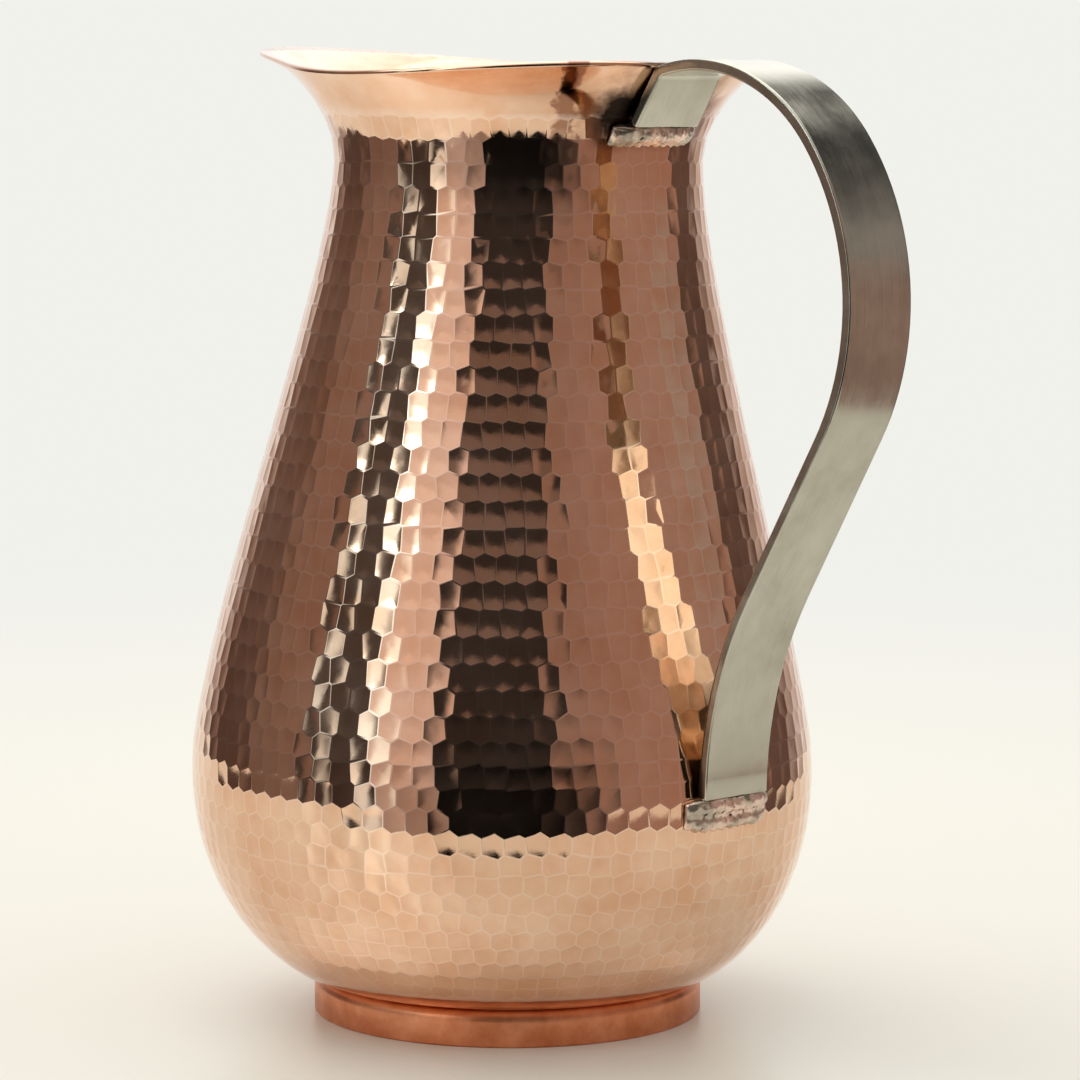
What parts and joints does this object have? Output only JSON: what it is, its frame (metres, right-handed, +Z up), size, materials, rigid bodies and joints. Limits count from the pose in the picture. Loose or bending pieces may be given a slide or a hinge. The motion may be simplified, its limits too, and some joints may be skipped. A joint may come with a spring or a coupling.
{
  "type": "water jug",
  "caption": "Pear-shaped planished copper jug on a foot ring, with a flared pouring lip and a flat steel bar handle welded to flare and belly.",
  "frame": {"origin": "centre of the foot ring's resting face, on the table", "axes": "+Z up, +X towards the handle, the pouring lip towards -X"},
  "size_m": [0.1918, 0.1472, 0.2268],
  "materials": {
    "planished_copper": "polished, hammer-planished copper",
    "satin_copper": "satin copper",
    "braze": "as brazed",
    "brushed_steel": "brushed, slightly scratched stainless steel",
    "weld_metal": "rough weld bead with copper-pink heat tint"
  },
  "bodies": {
    "root": {"body_shell": "planished_copper", "foot_ring": "satin_copper", "foot_braze": "braze", "handle_strap": "brushed_steel", "upper_weld": "weld_metal", "lower_weld": "weld_metal"}
  },
  "joints": []
}
